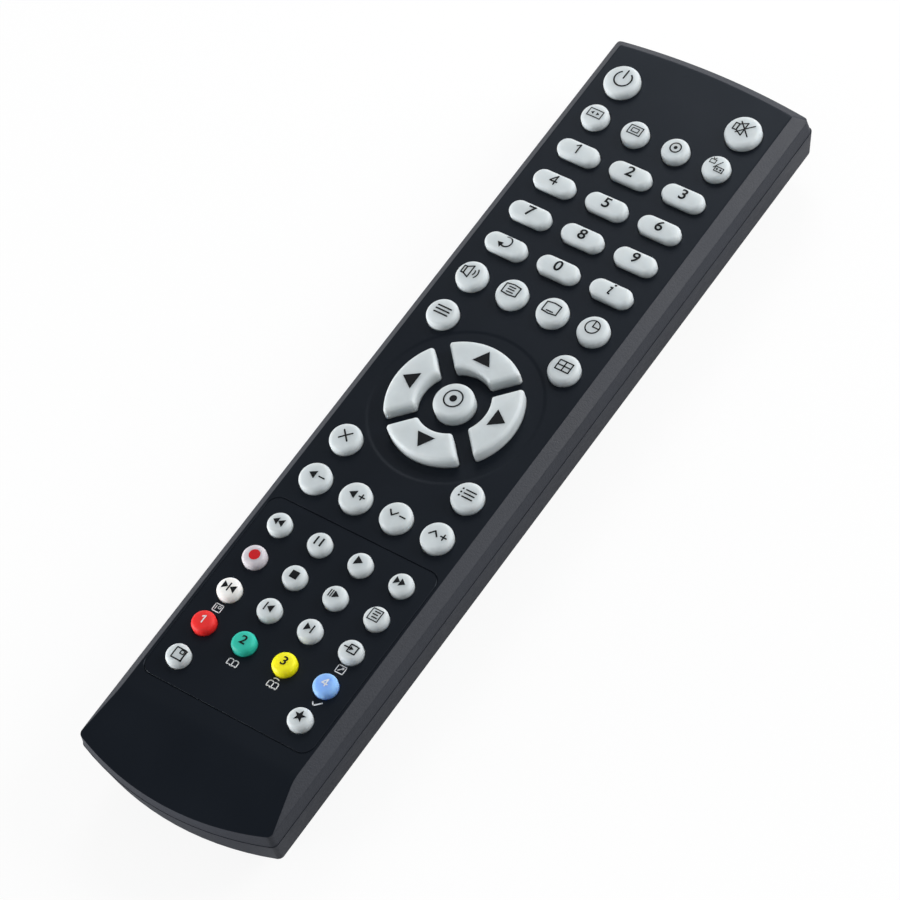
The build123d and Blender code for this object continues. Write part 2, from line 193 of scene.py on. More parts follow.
def spread(tree, value, low, high):
    """Maps the middle of a noise to the range from low to high."""
    node = tree.nodes.new("ShaderNodeMapRange")
    node.inputs["From Min"].default_value = 0.3
    node.inputs["From Max"].default_value = 0.7
    node.inputs["To Min"].default_value = low
    node.inputs["To Max"].default_value = high
    tree.links.new(value, node.inputs["Value"])
    return node.outputs["Result"]


def mixed(tree, factor, a, b):
    """Mixes two colours. The colours and the factor are each a value or a socket."""
    node = tree.nodes.new("ShaderNodeMix")
    node.data_type = "RGBA"
    for socket, value in ((node.inputs["Factor"], factor), (node.inputs[6], a), (node.inputs[7], b)):
        if isinstance(value, (float, tuple)):
            socket.default_value = value
        else:
            tree.links.new(value, socket)
    return node.outputs[2]


def mottled(tree, value, a, b):
    """A colour that runs between two others with a noise."""
    return mixed(tree, spread(tree, value, 0.0, 1.0), a, b)


def bumped(tree, shader, heights, distance):
    """Adds one bump node for each height and strength, one after another."""
    normal = None
    for height, strength in heights:
        bump = tree.nodes.new("ShaderNodeBump")
        bump.inputs["Strength"].default_value = strength
        bump.inputs["Distance"].default_value = distance
        tree.links.new(height, bump.inputs["Height"])
        if normal:
            tree.links.new(normal, bump.inputs["Normal"])
        normal = bump.outputs["Normal"]
    tree.links.new(normal, shader.inputs["Normal"])


def plastic(name, colour, rough, grain, depth, specular, cloud, tint=(1.0, 1.0, 1.0)):
    """Moulded plastic: grain of one scale over slow changes of tone and gloss."""
    material, tree, shader, where = new_material(name)
    fine = noise(tree, where, scale=grain, detail=4.0, rough=0.65)
    slow = noise(tree, where, scale=45.0, detail=2.0, rough=0.5)
    tone = mottled(tree, slow, scaled(colour, 1 - cloud), scaled(colour, 1 + cloud))
    speckle = mottled(tree, fine, scaled(colour, 1 - 2 * cloud), scaled(colour, 1 + 2 * cloud))
    tree.links.new(mixed(tree, 0.5, tone, speckle), shader.inputs["Base Color"])
    tree.links.new(spread(tree, slow, rough - 0.04, rough + 0.05), shader.inputs["Roughness"])
    shader.inputs["Specular IOR Level"].default_value = specular
    shader.inputs["Specular Tint"].default_value = (*tint, 1.0)
    bumped(tree, shader, [(fine, depth), (slow, depth * 0.3)], distance=0.0002)
    return material


def silicone(name, colour):
    """Matt silicone rubber: soft, with faint mottling and a powdery surface."""
    material, tree, shader, where = new_material(name)
    fine = noise(tree, where, scale=3200.0, detail=3.0, rough=0.6)
    slow = noise(tree, where, scale=260.0, detail=3.0, rough=0.55)
    tone = mottled(tree, slow, scaled(colour, 0.955), scaled(colour, 1.03))
    tree.links.new(tone, shader.inputs["Base Color"])
    tree.links.new(spread(tree, slow, 0.5, 0.62), shader.inputs["Roughness"])
    shader.inputs["Specular IOR Level"].default_value = 0.35
    shader.inputs["Subsurface Weight"].default_value = 0.9
    shader.inputs["Subsurface Radius"].default_value = (1.0, 0.95, 0.9)
    shader.inputs["Subsurface Scale"].default_value = 0.003
    bumped(tree, shader, [(fine, 0.10), (slow, 0.12)], distance=0.0001)
    return material


def ink(name, colour):
    """Printed ink: slightly uneven in density."""
    material, tree, shader, where = new_material(name)
    patch = noise(tree, where, scale=1800.0, detail=4.0, rough=0.6)
    tone = mottled(tree, patch, scaled(colour, 0.85), scaled(colour, 1.15))
    tree.links.new(tone, shader.inputs["Base Color"])
    tree.links.new(spread(tree, patch, 0.45, 0.6), shader.inputs["Roughness"])
    shader.inputs["Specular IOR Level"].default_value = 0.15
    bumped(tree, shader, [(patch, 0.08)], distance=0.00005)
    return material


def metal(name, colour, rough):
    """Plated or brushed metal with fine marks along its length."""
    material, tree, shader, where = new_material(name)
    stretch = tree.nodes.new("ShaderNodeMapping")
    stretch.inputs["Scale"].default_value = (1.0, 0.06, 1.0)
    tree.links.new(where, stretch.inputs["Vector"])
    lines = noise(tree, stretch.outputs["Vector"], scale=5200.0, detail=3.0, rough=0.6)
    tone = mottled(tree, lines, scaled(colour, 0.88), scaled(colour, 1.08))
    tree.links.new(tone, shader.inputs["Base Color"])
    tree.links.new(spread(tree, lines, rough - 0.08, rough + 0.1), shader.inputs["Roughness"])
    shader.inputs["Metallic"].default_value = 1.0
    bumped(tree, shader, [(lines, 0.08)], distance=0.00005)
    return material


def board_material():
    """Green solder mask, and the infrared lamp's dark tinted lens beyond the board's edge."""
    material, tree, shader, where = new_material("board_and_lamp")
    patch = noise(tree, where, scale=320.0, detail=4.0, rough=0.6)
    mask = mottled(tree, patch, linear(18, 74, 44), linear(28, 96, 58))
    lens = mottled(tree, patch, linear(40, 34, 44), linear(56, 48, 60))
    parts = tree.nodes.new("ShaderNodeSeparateXYZ")
    tree.links.new(where, parts.inputs[0])
    beyond = tree.nodes.new("ShaderNodeMath")
    beyond.operation = "GREATER_THAN"
    beyond.inputs[1].default_value = LENS_START * MM
    tree.links.new(parts.outputs["Y"], beyond.inputs[0])
    tree.links.new(mixed(tree, beyond.outputs[0], mask, lens), shader.inputs["Base Color"])
    tree.links.new(spread(tree, patch, 0.18, 0.32), shader.inputs["Roughness"])
    bumped(tree, shader, [(patch, 0.1)], distance=0.0001)
    return material


FACE = plastic(
    "face_satin", linear(10, 15, 22), rough=0.38, grain=2600.0, depth=0.06,
    specular=0.18, cloud=0.10, tint=(0.74, 0.85, 1.0),
)
# The bevel and walls of the upper case are really grained, and their colour is also painted lighter than
# the satin face's. That lighter colour is a painted sheen for the light the texture catches at a grazing
# angle.
GRAIN_AND_PAINTED_LIGHT = plastic(
    "case_grain_and_painted_light", linear(49, 52, 59), rough=0.48, grain=2300.0, depth=0.35, specular=0.3, cloud=0.16
)
LOWER = plastic(
    "lower_grain", linear(47, 50, 57), rough=0.50, grain=2300.0, depth=0.35, specular=0.3, cloud=0.16
)
CELL = plastic(
    "cell_jacket", linear(70, 78, 92), rough=0.3, grain=900.0, depth=0.03, specular=0.5, cloud=0.05
)
GREY_KEY = silicone("grey_silicone", linear(202, 209, 211))
WHITE_KEY = silicone("white_silicone", linear(246, 244, 239))
RECORD_KEY = silicone("record_silicone", linear(204, 199, 205))
RED_KEY = silicone("red_silicone", linear(230, 40, 38))
GREEN_KEY = silicone("green_silicone", linear(42, 186, 166))
YELLOW_KEY = silicone("yellow_silicone", linear(254, 236, 14))
BLUE_KEY = silicone("blue_silicone", linear(138, 183, 248))
MAT = silicone("mat_silicone", linear(168, 172, 172))
DARK_INK = ink("dark_ink", linear(10, 13, 17))
WHITE_INK = ink("white_ink", linear(226, 228, 230))
RED_INK = ink("red_ink", linear(196, 28, 34))
CONTACT = metal("plated_spring", linear(196, 196, 190), rough=0.28)
BOARD = board_material()


# Plan outlines

def arc(cx, cy, r, start, end, count):
    """Points on an arc, both ends included. Angles are in radians."""
    return [(cx + r * math.cos(a), cy + r * math.sin(a)) for a in np.linspace(start, end, count)]


def circle(x, y, radius, offset=0, count=56):
    """A full circle, grown by an offset."""
    return arc(x, y, radius + offset, 0, 2 * math.pi * (1 - 1 / count), count)


def oval(x, y, length, width, offset):
    """Two round ends and the straight sides between them."""
    end, r = (length - width) / 2, width / 2 + offset
    return arc(x + end, y, r, -QUARTER, QUARTER, 24) + arc(x - end, y, r, QUARTER, 3 * QUARTER, 24)


def turned(points, degrees):
    """Plan points turned about the origin."""
    c, s = math.cos(math.radians(degrees)), math.sin(math.radians(degrees))
    return [(x * c - y * s, x * s + y * c) for x, y in points]


def sector(turn, offset):
    """A quarter of the direction ring, with rounded corners, turned about the ring's centre."""
    outer, inner, half_gap = RING_OUTER + offset, RING_INNER - offset, RING_GAP / 2 - offset
    corner = max(RING_CORNER + offset, LEAST_RING_CORNER)
    across = half_gap + corner
    outer_x = math.sqrt((outer - corner) ** 2 - across**2)
    inner_x = math.sqrt((inner + corner) ** 2 - across**2)
    outer_turn, inner_turn = math.atan2(across, outer_x), math.atan2(across, inner_x)
    lower = arc(inner_x, across, corner, math.pi + inner_turn, 3 * QUARTER, 6)
    lower += arc(outer_x, across, corner, -QUARTER, outer_turn, 8)
    # The corners at the other gap are the same ones mirrored across the middle of the sector
    upper = [(y, x) for x, y in reversed(lower)]
    outer_side = arc(0, 0, outer, outer_turn, QUARTER - outer_turn, 30)[1:-1]
    inner_side = arc(0, 0, inner, QUARTER - inner_turn, inner_turn, 20)[1:-1]
    loop = turned(lower + outer_side + upper + inner_side, 45 + turn)
    return [(x, RING_Y + y) for x, y in loop]


# Where the sides of the case's outline have points: close together in the chin, far apart beyond it
SIDE_YS = [-97.0 + 0.75 * i for i in range(22)]
SIDE_YS += [-79.0 + 12.0 * i for i in range(15)]
SIDE_YS += [98.0, 99.6]


def case_outline(inset):
    """Plan outline of the upper case, inset from its widest, always with the same number of points."""
    total = CASE_STEP + inset
    corner = max(SIDE_CORNER - inset, LEAST_CORNER)
    x = HALF_WIDTH - total
    corner_x = x - corner
    near_arc, far_arc = NEAR_RADIUS - total, FAR_RADIUS - total
    near_middle = -HALF_LENGTH + total + near_arc
    far_middle = HALF_LENGTH - total - far_arc
    near_corner = near_middle - math.sqrt((near_arc - corner) ** 2 - corner_x**2)
    far_corner = far_middle + math.sqrt((far_arc - corner) ** 2 - corner_x**2)
    near_turn = math.atan2(corner_x, near_middle - near_corner)
    far_turn = math.atan2(corner_x, far_corner - far_middle)
    points = arc(0, near_middle, near_arc, -QUARTER - near_turn, -QUARTER + near_turn, 61)
    points += arc(corner_x, near_corner, corner, -QUARTER + near_turn, 0, 7)[1:]
    points += [(x, y) for y in SIDE_YS]
    points += arc(corner_x, far_corner, corner, 0, QUARTER - far_turn, 7)
    points += arc(0, far_middle, far_arc, QUARTER - far_turn, QUARTER + far_turn, 41)[1:]
    points += arc(-corner_x, far_corner, corner, QUARTER + far_turn, math.pi, 7)[1:]
    points += [(-x, y) for y in reversed(SIDE_YS)]
    points += arc(-corner_x, near_corner, corner, math.pi, 3 * QUARTER - near_turn, 7)[:-1]
    return points


# Meshes

def add_object(name, points, faces, materials, indices=None):
    """A mesh object from points in millimetres, with a material index for each face."""
    mesh = bpy.data.meshes.new(name)
    mesh.from_pydata([(x * MM, y * MM, z * MM) for x, y, z in points], [], faces)
    for material in materials:
        mesh.materials.append(material)
    if indices:
        mesh.polygons.foreach_set("material_index", indices)
    mesh.update()
    obj = bpy.data.objects.new(name, mesh)
    scene.collection.objects.link(obj)
    return obj


def smooth(obj, angle):
    """Smooth shading with edges over an angle in degrees kept sharp, and normals led by the large faces."""
    mesh = obj.data
    mesh.shade_smooth()
    mesh.set_sharp_from_angle(angle=math.radians(angle))
    weighted = obj.modifiers.new("normals", "WEIGHTED_NORMAL")
    weighted.keep_sharp = True
    weighted.weight = 80


def inside(points, polygon):
    """Which of the points lie in the polygon."""
    x, y = points[:, 0], points[:, 1]
    hit = np.zeros(len(points), bool)
    px, py = polygon[-1]
    for qx, qy in polygon:
        if py != qy:
            cross = (py > y) != (qy > y)
            hit ^= cross & (x < (px - qx) * (y - qy) / (py - qy) + qx)
        px, py = qx, qy
    return hit


def fill(outline, holes, lines):
    """Triangles for the plan region inside the outline and outside the holes.
    Returns the plan points, the triangles, and the place of each loop's points among them."""
    points, edges, starts = [], [], []
    for loop, closed in [(outline, True)] + [(hole, True) for hole in holes] + lines:
        first = len(points)
        starts.append((first, len(loop)))
        points += loop
        edges += [(first + i, first + i + 1) for i in range(len(loop) - 1)]
        if closed:
            edges.append((first + len(loop) - 1, first))
    flat, _, triangles, origins, *_ = delaunay_2d_cdt([Vector(p) for p in points], edges, [], 0, 1e-5)
    place = {}
    for index, sources in enumerate(origins):
        for source in sources:
            place[source] = index
    flat = np.array([(p.x, p.y) for p in flat])
    triangles = np.array(triangles)
    middle = flat[triangles].mean(axis=1)
    keep = inside(middle, outline)
    for hole in holes:
        keep &= ~inside(middle, hole)
    loops = [[place[first + i] for i in range(count)] for first, count in starts[: 1 + len(holes)]]
    return flat, triangles[keep], loops


def strip(lower, upper):
    """Quads between two closed loops of point numbers."""
    count = len(lower)
    return [(lower[i], lower[(i + 1) % count], upper[(i + 1) % count], upper[i]) for i in range(count)]


# Form of the upper case

def face_height(y):
    """Level face, then the chin that falls away to the near end."""
    turn = math.atan(CHIN_FALL)
    tangent = CHIN_BLEND * math.tan(turn / 2)
    level = CHIN_START + tangent
    slope = CHIN_START - tangent * math.cos(turn)
    if y >= level:
        return FACE_Z
    if y <= slope:
        return FACE_Z - (CHIN_START - y) * CHIN_FALL
    return FACE_Z - CHIN_BLEND + math.sqrt(CHIN_BLEND**2 - (y - level) ** 2)


def soft_min(a, b, width):
    """The smaller of two values, with a rounded change from one to the other."""
    near = max(width - abs(a - b), 0) / width
    return min(a, b) - near * near * width / 4


def bevel_height(x, y):
    """The bevel along both sides and the far end."""
    side = HALF_WIDTH - CASE_STEP - abs(x)
    far = FAR_RADIUS - CASE_STEP - math.hypot(x, y - HALF_LENGTH + FAR_RADIUS)
    return BEVEL_Z + soft_min(side, far, BEVEL_CORNER) * BEVEL_DROP / BEVEL_WIDTH


def panel_distance(x, y):
    """Distance from the middle line of the groove round the recorder keys."""
    inset = GROOVE_WIDTH / 2
    corner = PANEL_CORNER - inset
    dx = abs(x) - (PANEL_HALF_WIDTH - inset - corner)
    dy = abs(y - (PANEL_TOP + PANEL_BOTTOM) / 2) - ((PANEL_TOP - PANEL_BOTTOM) / 2 - inset - corner)
    return abs(math.hypot(max(dx, 0), max(dy, 0)) + min(max(dx, dy), 0) - corner)


def top_height(x, y):
    """Height of the upper case's outside at a plan point."""
    edge = min(max((DISH_RADIUS - math.hypot(x, y - RING_Y)) / DISH_SLOPE, 0), 1)
    drop = DISH_DEPTH * edge * edge * (3 - 2 * edge)
    across = panel_distance(x, y) / (GROOVE_WIDTH / 2)
    if across < 1:
        drop += GROOVE_DEPTH * (1 - across * across) ** 2
    return soft_min(face_height(y) - drop, bevel_height(x, y), CREASE)


def inner_height(x, y):
    """Height of the inside of the upper case."""
    return min(face_height(y) - WALL, bevel_height(x, y) - BEVEL_WALL)


def crease_line(level):
    """Plan line where the bevel is this much higher than the face."""
    edge_x = HALF_WIDTH - CASE_STEP

    def side_x(y):
        return edge_x - (face_height(y) - BEVEL_Z + level) * BEVEL_WIDTH / BEVEL_DROP

    # The line bends in the chin alone, so the straight side beyond it has points only at its middle and end
    step = 0.7 if level == 0 else 0.9
    near, far = CHIN_STRETCH
    ys = [y for y in np.arange(near, 98.0, step) if y < far or abs(y) < 0.5 or y > 96.0]
    ys = [y for y in ys if side_x(y) < edge_x - 0.2]
    depth = (FACE_Z - BEVEL_Z + level) * BEVEL_WIDTH / BEVEL_DROP
    radius, corner_x = FAR_RADIUS - CASE_STEP - depth, side_x(0) - BEVEL_CORNER
    middle = HALF_LENGTH - FAR_RADIUS
    corner_y = middle + math.sqrt((radius - BEVEL_CORNER) ** 2 - corner_x**2)
    turn = math.atan2(corner_x, corner_y - middle)
    right = [(side_x(y), y) for y in ys] + arc(corner_x, corner_y, BEVEL_CORNER, 0, QUARTER - turn, 5)
    end = arc(0, middle, radius, QUARTER - turn, QUARTER + turn, 41)[1:-1]
    left = [(-x, y) for x, y in reversed(right)]
    return right + end + left


def panel_line(offset):
    """Plan line beside the middle of the groove, to its inside by an offset."""
    inset = GROOVE_WIDTH / 2 + offset
    corner = PANEL_CORNER - inset
    x = PANEL_HALF_WIDTH - inset - corner
    top, bottom = PANEL_TOP - inset - corner, PANEL_BOTTOM + inset + corner
    loop = []
    for turn, (cx, cy) in enumerate([(x, bottom), (x, top), (-x, top), (-x, bottom)]):
        loop += arc(cx, cy, corner, (turn - 1) * QUARTER, turn * QUARTER, 9)
    return loop


def face_lines():
    """Plan lines that the triangles of the face follow, each with whether it is closed."""
    lines = []
    for level in (-1.55, -0.85, -CREASE, -CREASE / 2, 0, CREASE / 2, CREASE):
        lines.append((crease_line(level), False))
    for offset in (-0.18, -0.1, 0, 0.1, 0.18):
        lines.append((panel_line(offset), True))
    for offset in (0.05, -0.25, -0.5, -0.75, -1.05):
        lines.append((circle(0, RING_Y, DISH_RADIUS, offset, 120), True))
    for y in CHIN_CURVE:
        lines.append(([(x, y) for x in (-CHIN_REACH, -12, 0, 12, CHIN_REACH)], False))
    for y in (-92.0, -95.0, -98.0):
        lines.append(([(x, y) for x in (-CHIN_REACH, 0, CHIN_REACH)], False))
    return lines


# Shapes of the keys: the plan outline as a function of an outward offset, the centre, the top,
# and how far the crown reaches in from the rolled edge
KeyShape = namedtuple("KeyShape", "outline x y top reach")


def key_shape(name):
    """The shape of a key, from the box of its node or, in the ring, from the ring's sizes."""
    low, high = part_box(name)
    x, y, top = (low.x + high.x) / 2 / MM, (low.y + high.y) / 2 / MM, high.z / MM
    length, width = (high.x - low.x) / MM - 2 * BASE_MARGIN, (high.y - low.y) / MM - 2 * BASE_MARGIN
    if name in TURNS:
        reach = (RING_OUTER - RING_INNER) / 2 - 2 * CENTRE_FLAT - RING_ROLL
        return KeyShape(lambda offset: sector(TURNS[name], offset), x, y, top, reach)
    if name == "key_ok":
        reach = OK_RADIUS - CENTRE_FLAT - ROLL
        return KeyShape(lambda offset: circle(0, RING_Y, OK_RADIUS, offset), 0, RING_Y, top, reach)
    if length > width + 1:
        reach = width / 2 - ROLL - CENTRE_FLAT
        return KeyShape(lambda offset: oval(x, y, length, width, offset), x, y, top, reach)
    reach = length / 2 - ROLL - CENTRE_FLAT
    return KeyShape(lambda offset: circle(x, y, length / 2, offset), x, y, top, reach)


key_names = sorted(name for name in nodes if name.startswith("key_"))
shapes = {name: key_shape(name) for name in key_names}


# Upper case

SATIN, GRAINED_AND_PAINTED_LIGHT = 0, 1


def face_kind(x, y):
    """Satin on the face, grained on the bevel, where the colour is also painted lighter for the light its
    texture catches.
    """
    return SATIN if face_height(y) - bevel_height(x, y) < 0.02 else GRAINED_AND_PAINTED_LIGHT


class Shell:
    """The points and faces of one closed solid, with a material number for each face."""

    def __init__(self):
        self.points, self.faces, self.kinds = [], [], []

    def add_points(self, plan, heights):
        """Adds plan points at their heights and returns their numbers."""
        first = len(self.points)
        self.points.extend((x, y, z) for (x, y), z in zip(plan, heights))
        return list(range(first, len(self.points)))

    def add_strip(self, lower, upper, kind):
        """Adds the quads between two closed loops of point numbers."""
        quads = strip(lower, upper)
        self.faces.extend(quads)
        self.kinds.extend([kind] * len(quads))

    def add_sheet(self, outline, holes, lines, height, kind, turned_over=False):
        """Adds a sheet over a plan region and returns the point numbers of its outline and holes."""
        flat, triangles, loops = fill(outline, holes, lines)
        ids = self.add_points(flat, [height(x, y) for x, y in flat])
        for triangle in triangles:
            corners = [ids[i] for i in triangle]
            self.faces.append(tuple(reversed(corners)) if turned_over else tuple(corners))
            self.kinds.append(kind(*flat[triangle].mean(axis=0)))
        return [[ids[i] for i in loop] for loop in loops]

    def add_opening(self, outline, rim):
        """Adds the rounded edge of a key's opening and returns its lowest ring."""
        heights = [self.points[i][2] for i in rim]
        for offset, drop in ((0.035, 0.035), (0.0, EDGE)):
            ring = self.add_points(outline(KEY_CLEARANCE + offset), [z - drop for z in heights])
            self.add_strip(ring, rim, SATIN)
            rim = ring
        return rim

    def add_wall(self, rim):
        """Adds the outside wall, the shadow gap over the seam and the rim that stands on the lower case."""
        tops = [self.points[i][2] for i in rim]
        seam_top = SEAM_Z + SEAM_GAP
        below_bevel = [
            (EDGE * 0.3, EDGE * 0.3),
            (0, EDGE),
            (0, LINE_TOP),
            (LINE_DEPTH, LINE_MIDDLE),
            (0, LINE_FOOT),
        ]
        at_seam = [
            (-DRAFT, seam_top + SEAM_ROUND),
            (SEAM_ROUND - DRAFT, seam_top),
            (SEAM_DEPTH, seam_top),
            (SEAM_DEPTH, SEAM_Z),
            (RIM_INSET - CASE_STEP, SEAM_Z),
        ]
        rings = [(inset, [z - drop for z in tops]) for inset, drop in below_bevel]
        rings += [(inset, [z] * len(tops)) for inset, z in at_seam]
        for inset, heights in rings:
            plan = case_outline(inset)
            if inset == LINE_DEPTH:
                plan = fade_line(plan, tops)
            ring = self.add_points(plan, heights)
            self.add_strip(ring, rim, GRAINED_AND_PAINTED_LIGHT)
            rim = ring
        return rim


def fade_line(plan, tops):
    """Brings the fine line under the bevel out to the wall where the bevel ends."""
    faded = []
    for (x, y), (flush_x, flush_y), z in zip(plan, case_outline(0), tops):
        share = min(max((z - LINE_END_Z) / LINE_FADE, 0), 1)
        faded.append((x * share + flush_x * (1 - share), y * share + flush_y * (1 - share)))
    return faded


def build_upper_case():
    """The upper shell as one closed solid, with its key holes, groove, dish and rolled edges."""
    shell = Shell()
    outlines = [shape.outline for shape in shapes.values()]
    holes = [outline(KEY_CLEARANCE + EDGE) for outline in outlines]
    rim, *hole_rims = shell.add_sheet(case_outline(EDGE), holes, face_lines(), top_height, face_kind)
    hole_ends = [shell.add_opening(outline, hole_rim) for outline, hole_rim in zip(outlines, hole_rims)]
    wall_end = shell.add_wall(rim)

    plan = [shell.points[i][:2] for i in wall_end]
    holes = [outline(KEY_CLEARANCE) for outline in outlines]
    rim, *hole_rims = shell.add_sheet(plan, holes, [], inner_height, lambda x, y: GRAINED_AND_PAINTED_LIGHT, turned_over=True)
    shell.add_strip(rim, wall_end, GRAINED_AND_PAINTED_LIGHT)
    for hole_rim, hole_end in zip(hole_rims, hole_ends):
        shell.add_strip(hole_rim, hole_end, SATIN)
    return add_object("upper_shell", shell.points, shell.faces, [FACE, GRAIN_AND_PAINTED_LIGHT], shell.kinds)


def cut_lamp_hole(case):
    """Cuts the infrared lamp's hole through the far wall and keeps the cut in the mesh."""
    rim = circle(0, LAMP_Z, LAMP_HOLE, 0, LAMP_SIDES)
    points = [(x, y, z) for y in LAMP_CUT for x, z in rim]
    near, far = range(LAMP_SIDES), range(LAMP_SIDES, 2 * LAMP_SIDES)
    faces = strip(near, far) + [tuple(reversed(near)), tuple(far)]
    cutter = add_object("lamp_cutter", points, faces, [GRAIN_AND_PAINTED_LIGHT])
    cut = case.modifiers.new("lamp_hole", "BOOLEAN")
    cut.object = cutter
    cut.operation = "DIFFERENCE"
    cut.solver = "EXACT"
    graph = bpy.context.evaluated_depsgraph_get()
    mesh = bpy.data.meshes.new_from_object(case.evaluated_get(graph))
    case.modifiers.clear()
    case.data = mesh
    bpy.data.objects.remove(cutter)


upper = build_upper_case()
cut_lamp_hole(upper)
smooth(upper, 38)
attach(upper, "case")
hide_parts("upper_case")


# Keys

def top_z(name):
    """Height of a key's top at its highest, which leaves room for the print under the node's box."""
    return shapes[name].top - PRINT_ROOM


def build_key(name, material):
    """A moulded silicone key: base flange, straight wall, rolled edge and a faintly crowned top."""
    shape = shapes[name]
    top = top_z(name)
    roll = RING_ROLL if name in TURNS else ROLL
    rings = [(BASE_MARGIN, BASE_Z), (BASE_MARGIN, BASE_TOP), (0, BASE_TOP)]
    rings.append((0, top - CROWN - ROLL_DROP - WALL_BAND))
    for step in range(ROLL_STEPS + 1):
        turn = QUARTER * step / ROLL_STEPS
        rings.append((-roll * (1 - math.cos(turn)), top - CROWN - ROLL_DROP * (1 - math.sin(turn))))
    for step in range(1, CROWN_STEPS + 1):
        share = step / CROWN_STEPS
        rings.append((-roll - shape.reach * share, top - CROWN * (1 - share) ** 2))
    points, loops, faces = [], [], []
    for offset, z in rings:
        first = len(points)
        points += [(x, y, z) for x, y in shape.outline(offset)]
        loops.append(list(range(first, len(points))))
    for lower, higher in zip(loops, loops[1:]):
        faces += strip(lower, higher)
    faces += [tuple(loops[-1]), tuple(reversed(loops[0]))]
    obj = add_object(name + "_cap", points, faces, [material])
    smooth(obj, 50)
    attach(obj, name + "_body")
    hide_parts(name)
    return obj


KEY_LOOK = {
    "key_jump": (WHITE_KEY, "white_key"),
    "key_record": (RECORD_KEY, "record_key"),
    "key_red": (RED_KEY, "red_key"),
    "key_green": (GREEN_KEY, "green_key"),
    "key_yellow": (YELLOW_KEY, "yellow_key"),
    "key_blue": (BLUE_KEY, "blue_key"),
}
for name in key_names:
    look, slot_name = KEY_LOOK.get(name, (GREY_KEY, "grey_key"))
    build_key(name, look)


# Strokes and shapes of the print, in millimetres from the middle of each mark

def disc(x, y, r, count=28):
    """A filled circle."""
    return [circle(x, y, r, 0, count)]


def bar(ax, ay, bx, by, width):
    """A straight stroke with round ends."""
    dx, dy = bx - ax, by - ay
    length = math.hypot(dx, dy)
    nx, ny = -dy / length * width / 2, dx / length * width / 2
    quad = [(ax - nx, ay - ny), (bx - nx, by - ny), (bx + nx, by + ny), (ax + nx, ay + ny)]
    return [quad] + disc(ax, ay, width / 2, 10) + disc(bx, by, width / 2, 10)


def rows(left, right, heights, width):
    """Level strokes of one length at several heights."""
    return [polygon for y in heights for polygon in bar(left, y, right, y, width)]


def path(points, width, closed=False):
    """Strokes through a list of points."""
    strokes = []
    ends = points[1:] + (points[:1] if closed else [])
    for (ax, ay), (bx, by) in zip(points, ends):
        strokes += bar(ax, ay, bx, by, width)
    return strokes


def bow(x, y, r, start, end, width):
    """A stroke along an arc, with angles in degrees."""
    count = max(6, int(abs(end - start) / 9))
    outer = arc(x, y, r + width / 2, math.radians(start), math.radians(end), count)
    inner = arc(x, y, r - width / 2, math.radians(start), math.radians(end), count)
    return [[inner[i], outer[i], outer[i + 1], inner[i + 1]] for i in range(count - 1)]


def block(x, y, width, height):
    """A filled rectangle."""
    w, h = width / 2, height / 2
    return [[(x - w, y - h), (x + w, y - h), (x + w, y + h), (x - w, y + h)]]


def box(x, y, width, height, line):
    """A rectangle drawn with a stroke."""
    return path(block(x, y, width, height)[0], line, True)


def wedge(x, y, size, way=1, length=None):
    """A solid triangle that points right, or left if way is -1."""
    half = (length or size * 0.84) / 2
    tri = [(x - way * half, y - size / 2), (x + way * half, y), (x - way * half, y + size / 2)]
    return [tri if way > 0 else tri[::-1]]


def two_wedges(way):
    """Two solid triangles one behind the other."""
    return wedge(-0.85, -0.15, 1.95, way, 1.38) + wedge(0.5, -0.15, 1.95, way, 1.38)


def chevron(way):
    """An open arrow that points up, or down if way is -1."""
    return path([(-1.75, -0.5 * way), (-0.75, 0.6 * way), (0.25, -0.5 * way)], BOLD)


def screen(x, y):
    """Outline of a television screen with a bulging top and foot."""
    corners = [(-1.85, -1.2), (0, -1.45), (1.85, -1.2), (1.85, 1.2), (0, 1.45), (-1.85, 1.2)]
    return path([(x + px, y + py) for px, py in corners], PLAIN, True)


def star(size):
    """A solid star of five points."""
    tips = []
    for i in range(10):
        r = size if i % 2 == 0 else size * 0.42
        a = math.radians(90 + 36 * i)
        tips.append((r * math.cos(a), r * math.sin(a)))
    return [[(0, 0), tips[i], tips[(i + 1) % 10]] for i in range(10)]


def book(x, y, line):
    """An open book seen from the front."""
    half = [(0, -0.8), (-0.65, -0.5), (-1.25, -0.75), (-1.25, 0.6), (-0.65, 0.85), (0, 0.6)]
    left = [(x + px, y + py) for px, py in half]
    right = [(x - px, y + py) for px, py in half]
    return path(left, line) + path(right, line) + bar(x, y - 0.8, x, y + 0.6, line)


def font_digit(text, height):
    """A digit of the built-in font, slightly widened, as polygons about its middle."""
    curve = bpy.data.curves.new("digit", "FONT")
    curve.offset = 0.018
    curve.body = text
    curve.align_x, curve.align_y = "CENTER", "CENTER"
    curve.resolution_u = 6
    holder = bpy.data.objects.new("digit", curve)
    scene.collection.objects.link(holder)
    graph = bpy.context.evaluated_depsgraph_get()
    mesh = bpy.data.meshes.new_from_object(holder.evaluated_get(graph))
    co = np.array([v.co[:2] for v in mesh.vertices])
    low, high = co.min(axis=0), co.max(axis=0)
    co = (co - (low + high) / 2) * (height / (high[1] - low[1])) * (1.12, 1)
    polygons = [[tuple(co[i]) for i in p.vertices] for p in mesh.polygons]
    bpy.data.objects.remove(holder)
    bpy.data.curves.remove(curve)
    bpy.data.meshes.remove(mesh)
    return polygons


def digit(text, height):
    """A plain digit: strokes with round ends for 1 and 4, and the built-in font for the others."""
    top = height / 2 - 0.17
    if text == "1":
        return path([(-0.26 * height, 0.5 * top), (0.05, top), (0.05, -top)], height * 0.135)
    if text == "4":
        w, line = height * 0.33, height * 0.14
        stem, cross = 0.4 * w, -0.4 * top
        strokes = bar(stem, -top, stem, top, line)
        strokes += bar(stem, top, -w, cross, line)
        return strokes + bar(-w, cross, w, cross, line)
    return font_digit(text, height)


# Marks on the keys

